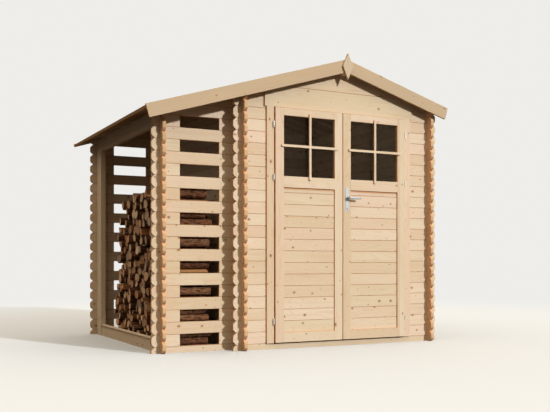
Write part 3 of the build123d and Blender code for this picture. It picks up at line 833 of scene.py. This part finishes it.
def in_stack(y, z, radius):
    """Whether a log lies under the stack's top, which is rounded at its free end."""
    shoulder = min(max((z / STACK_HEIGHT - SHOULDER_FROM) / SHOULDER_SPAN, 0.0), 1.0)
    reach = stack_reach(z) + STACK_SLACK - SHOULDER_BACK * shoulder * shoulder
    return z + radius < STACK_HEIGHT and y + radius < reach


def log_pile():
    """Middles and radii of the logs: laid in courses, then pushed apart and let sink."""
    laid = []
    height = COURSE / 2
    while height < STACK_HEIGHT * LAID_HEIGHT:
        y = random.uniform(0.0, COURSE_START)
        while y < stack_reach(height):
            radius = random.uniform(*LOG_RADIUS) + UPPER_MORE * height / STACK_HEIGHT
            if random.random() < THICK_SHARE:
                radius *= THICKER
            laid.append((y + radius, height, radius))
            y += 2 * radius
        height += COURSE
    pile = np.array(laid)
    middle, radius = pile[:, :2], pile[:, 2]
    same = np.eye(len(pile))
    for _ in range(PILE_STEPS):
        away = middle[:, None, :] - middle[None, :, :]
        gap = np.hypot(away[..., 0], away[..., 1]) + same
        overlap = np.maximum(radius[:, None] + radius[None, :] - gap, 0.0) * (1 - same)
        middle += PUSH * (away / gap[..., None] * overlap[..., None]).sum(axis=1)
        middle[:, 1] -= SINK
        middle[:, 1] = np.maximum(middle[:, 1], radius)
        farthest = np.maximum(stack_reach(middle[:, 1]) - radius, radius)
        middle[:, 0] = np.clip(middle[:, 0], radius, farthest)
    return [tuple(float(value) for value in row) for row in pile if in_stack(*row)]


def dot(first, second):
    return first[0] * second[0] + first[1] * second[1]


def clip(points, kinds, normal, limit, kind):
    """Cuts a convex outline to the side where normal . point <= limit. Each edge has a kind."""
    kept, kept_kinds = [], []
    for i, point in enumerate(points):
        after = points[(i + 1) % len(points)]
        here = dot(normal, point) - limit
        there = dot(normal, after) - limit
        if here <= 0:
            kept.append(point)
            kept_kinds.append(kinds[i])
        if here * there < 0:
            share = here / (here - there)
            kept.append(tuple(a + (b - a) * share for a, b in zip(point, after)))
            kept_kinds.append(kind if here <= 0 else kinds[i])
    return kept, kept_kinds


def log_section(log, pile):
    """The outline of one log: rounded where it has bark, flat where it was split, and cut back
    where it meets a neighbour."""
    y, z, radius = log
    turn = random.uniform(0, 2 * math.pi)
    oval = random.uniform(0.0, LOG_OVAL)
    lobe = random.uniform(0.0, LOG_LOBE)
    points = []
    for i in range(LOG_SIDES):
        angle = turn + 2 * math.pi * i / LOG_SIDES
        out = radius * (1 + oval * math.cos(2 * angle) + lobe * math.cos(3 * angle + turn))
        points.append((y + out * math.cos(angle), z + out * math.sin(angle)))
    kinds = [BARK] * LOG_SIDES
    if random.random() < SPLIT_SHARE:
        for turned in random.choice(SPLITS):
            normal = (math.cos(turn + turned), math.sin(turn + turned))
            limit = dot(normal, (y, z)) + radius * random.uniform(*SPLIT_DEPTH)
            points, kinds = clip(points, kinds, normal, limit, SPLIT)
    for other in pile:
        a, b, c = other
        gap = math.hypot(a - y, b - z)
        if other is log or gap > NEIGHBOUR * (radius + c):
            continue
        normal = ((a - y) / gap, (b - z) / gap)
        share = 0.5 + 0.5 * (radius * radius - c * c) / (gap * gap)
        limit = dot(normal, (y, z)) + gap * share - LOG_GAP
        points, kinds = clip(points, kinds, normal, limit, BARK)
    for normal, limit in (((-1, 0), 0.0), ((0, -1), -OFF_GROUND), ((0, 1), STACK_HEIGHT)):
        points, kinds = clip(points, kinds, normal, limit, BARK)
    return points, kinds


def add_log(mesh, uv, tone, points, kinds, radius, start, end):
    """One log from its outline, a little crooked, with sawn ends. The ends' UV has the log's
    middle at (0.5, 0.5) and its bark about 0.5 away."""
    count = len(points)
    centre_y = sum(p[0] for p in points) / count
    centre_z = sum(p[1] for p in points) / count
    slant = (random.uniform(-LOG_SLANT, LOG_SLANT), random.uniform(-LOG_SLANT, LOG_SLANT))
    shade = (random.random(), random.random(), random.random(), 1.0)
    rings = []
    for share in STATIONS:
        inner = 0.0 < share < 1.0
        x = start + (end - start) * share
        scale = 1.0 - RING_ROUGH * random.random() if inner else SAWN_SIZE
        ring = []
        for p in points:
            rough = scale * (1 - BARK_ROUGH * random.random()) if inner else scale
            dy = (p[0] - centre_y) * rough
            dz = (p[1] - centre_z) * rough
            tilt = dot((dy, dz), slant) if share < END_STATIONS else 0.0
            ring.append(mesh.verts.new(place(
                x + tilt, STACK_FRONT + centre_y + dy, centre_z + dz)))
        rings.append(ring)
    faces = []
    for first, second in zip(rings, rings[1:]):
        for i, kind in enumerate(kinds):
            j = (i + 1) % count
            face = mesh.faces.new((first[i], first[j], second[j], second[i]))
            face.material_index = kind
            face.smooth = kind == BARK
            faces.append(face)
    middle = place(0, STACK_FRONT + centre_y, centre_z)
    for ring in (rings[0][::-1], rings[-1]):
        face = mesh.faces.new(ring)
        face.material_index = CUT
        for loop in face.loops:
            local = loop.vert.co - middle
            loop[uv].uv = (local.y / radius * 0.5 + 0.5, local.z / radius * 0.5 + 0.5)
        faces.append(face)
    for face in faces:
        for loop in face.loops:
            loop[tone] = shade


def log_end_material():
    """Sawn log end, each log its own tone, with rings, saw marks and a dark rim of bark."""
    t = Surface("log_ends")
    one, two, three = t.log_tone()
    out = t.times(2.0, t.vector("LENGTH", t.vector("SUBTRACT", t.uv, (0.5, 0.5, 0.0))))
    wobble = t.noise(t.point, 38.0, 3.0, 0.6)
    rings = t.wave(t.plus(t.times(out, 5.0), wobble))
    saw_marks = t.noise(t.point, (0.0, 260.0, 90.0), 3.0, 0.65)
    blotch = t.noise(t.point, 46.0, 3.0, 0.6)
    base = t.tinted(
        t.mix(one, srgb("F0CFA8"), srgb("BE8860")),
        (t.ramp(two, 0.62, 1.0, 0.0, 0.7), "D08F62"),
        (t.ramp(three, 0.68, 1.0, 0.0, 0.75), "8E7A6C"),
        (t.times(t.ramp(rings, 0.4, 1.0), 0.3), "8A5833"),
        (t.ramp(saw_marks, 0.45, 0.85, 0.0, 0.4), "7C5032"),
        (t.ramp(blotch, 0.5, 0.75, 0.0, 0.45), "6E4A33"),
        (t.ramp(t.plus(out, t.times(wobble, 0.2)), 0.9, 1.04, 0.0, 0.9), "33221A"),
    )
    t.bump(t.plus(saw_marks, t.times(rings, 0.4)), 0.8, 0.0012)
    rough = t.ramp(saw_marks, 0.2, 0.8, 0.75, 0.92)
    t.set(Base_Color=base, Roughness=rough, Specular_IOR_Level=0.1)
    return t.material


def split_face_material():
    """Torn fibres along the log."""
    t = Surface("log_split_faces")
    one, two, _ = t.log_tone()
    streak = t.noise(t.point, (5.0, 130.0, 130.0), 4.0, 0.65)
    base = t.tinted(
        t.mix(one, srgb("C08E5C"), srgb("8E5C3A")),
        (t.ramp(two, 0.5, 1.0, 0.0, 0.5), "7E5A42"),
        (t.ramp(streak, 0.4, 0.8, 0.0, 0.75), "6B3F24"),
    )
    t.bump(streak, 0.9, 0.003)
    rough = t.ramp(streak, 0.2, 0.8, 0.7, 0.9)
    t.set(Base_Color=base, Roughness=rough, Specular_IOR_Level=0.1)
    return t.material


def bark_material():
    """Fissured bark with pale patches."""
    t = Surface("log_bark")
    one, two, _ = t.log_tone()
    plates = t.noise(t.point, (22.0, 90.0, 90.0), 5.0, 0.7)
    lichen = t.noise(t.point, 14.0, 3.0, 0.6)
    base = t.tinted(
        t.mix(one, srgb("60402D"), srgb("825338")),
        (t.ramp(two, 0.6, 1.0, 0.0, 0.7), "93684A"),
        (t.ramp(plates, 0.35, 0.62, 1.0, 0.0), "24160F"),
        (t.ramp(lichen, 0.56, 0.76, 0.0, 0.4), "A4805E"),
    )
    t.bump(plates, 1.0, 0.006)
    rough = t.ramp(plates, 0.2, 0.8, 0.85, 0.97)
    t.set(Base_Color=base, Roughness=rough, Specular_IOR_Level=0.1)
    return t.material


def firewood():
    """The stack of single logs."""
    mesh = bmesh.new()
    uv = mesh.loops.layers.uv.new("end_grain")
    tone = mesh.loops.layers.float_color.new("log_tone")
    pile = log_pile()
    for log in pile:
        points, kinds = log_section(log, pile)
        start = STACK_LEFT + LOG_NEAREST + random.uniform(0.0, LOG_SET_BACK)
        end = STACK_LEFT + LOG_LENGTH - random.uniform(0.0, LOG_SHORTER)
        add_log(mesh, uv, tone, points, kinds, log[2], start, end)
    logs = object_from(
        mesh, "firewood_logs", (log_end_material(), split_face_material(), bark_material()))
    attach(logs, "root")
    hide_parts("firewood_stack")


firewood()


# Studio: pale floor, plain background, soft light and camera

BACKDROP = srgb("EEEDEA")
FLOOR_SIZE = 40.0
FLOOR_COLOUR = srgb("DADEE3")
FLOOR_BOUNCE = srgb("332E29")
FLOOR_FADE = (3.0, 9.0)  # distances between which the floor turns into the backdrop
SKY_COLOUR = (1.0, 0.885, 0.715, 1.0)
SKY_RISE = (0.08, 0.72)  # heights between which the sky gets brighter
SKY_LIGHT = (0.06, 1.26)  # and its strength there
KEY_ENERGY = 2.66
KEY_ANGLE = math.radians(3)
KEY_COLOUR = (0.95, 0.98, 1.0)
KEY_FROM = (0.445, -1.0, 0.435)
CAMERA_SENSOR = 36.0
CAMERA_LENS = 52.36
CAMERA_SHIFT = 0.101
CAMERA_PLACE = (-3.1985, -6.766, 0.702)
CAMERA_TURN = (math.radians(90), 0, math.radians(-27))


def studio_floor():
    """A pale floor that fades into the backdrop and throws little light back."""
    material = bpy.data.materials.new("studio_floor")
    material.use_nodes = True
    g = Graph(material.node_tree)
    away = g.vector("LENGTH", g.node("TexCoord").outputs["Object"])
    pale = g.node("BsdfDiffuse", {"Color": FLOOR_COLOUR}).outputs[0]
    dark = g.node("BsdfDiffuse", {"Color": FLOOR_BOUNCE}).outputs[0]
    plain = g.node("Emission", {"Color": BACKDROP}).outputs[0]
    seen = g.blend(g.ramp(away, *FLOOR_FADE), pale, plain)
    g.node("OutputMaterial", {0: g.blend(g.diffuse_ray(), seen, dark)})

    data = bpy.data.meshes.new("studio_floor")
    corners = [(FLOOR_SIZE * x, FLOOR_SIZE * y, 0) for x, y in ((-1, -1), (1, -1), (1, 1), (-1, 1))]
    data.from_pydata(corners, [], [(0, 1, 2, 3)])
    data.materials.append(material)
    floor = bpy.data.objects.new("studio_floor", data)
    bpy.context.scene.collection.objects.link(floor)


def studio_world():
    """A warm sky that lights the part, and a plain backdrop for what the camera sees."""
    world = bpy.data.worlds.new("studio")
    bpy.context.scene.world = world
    world.use_nodes = True
    g = Graph(world.node_tree)
    height = g.separate(g.node("TexCoord").outputs["Generated"])[2]
    strength = g.ramp(height, *SKY_RISE, *SKY_LIGHT)
    sky = g.node("Background", {"Color": SKY_COLOUR, "Strength": strength}).outputs[0]
    plain = g.node("Background", {"Color": BACKDROP, "Strength": 1.0}).outputs[0]
    seen = g.minus(1.0, g.diffuse_ray())
    g.node("OutputWorld", {0: g.blend(seen, sky, plain)})


def studio_lights():
    key = bpy.data.lights.new("key", "SUN")
    key.energy = KEY_ENERGY
    key.angle = KEY_ANGLE
    key.color = KEY_COLOUR
    lamp = bpy.data.objects.new("key", key)
    lamp.rotation_euler = Vector(KEY_FROM).to_track_quat("Z", "Y").to_euler()
    bpy.context.scene.collection.objects.link(lamp)


def studio_camera():
    data = bpy.data.cameras.new("camera")
    data.sensor_width = CAMERA_SENSOR
    data.lens = CAMERA_LENS
    data.shift_y = CAMERA_SHIFT
    camera = bpy.data.objects.new("camera", data)
    camera.location = CAMERA_PLACE
    camera.rotation_euler = CAMERA_TURN
    bpy.context.scene.collection.objects.link(camera)
    bpy.context.scene.camera = camera


studio_floor()
studio_world()
studio_lights()
studio_camera()
bpy.context.scene.view_settings.view_transform = "Standard"
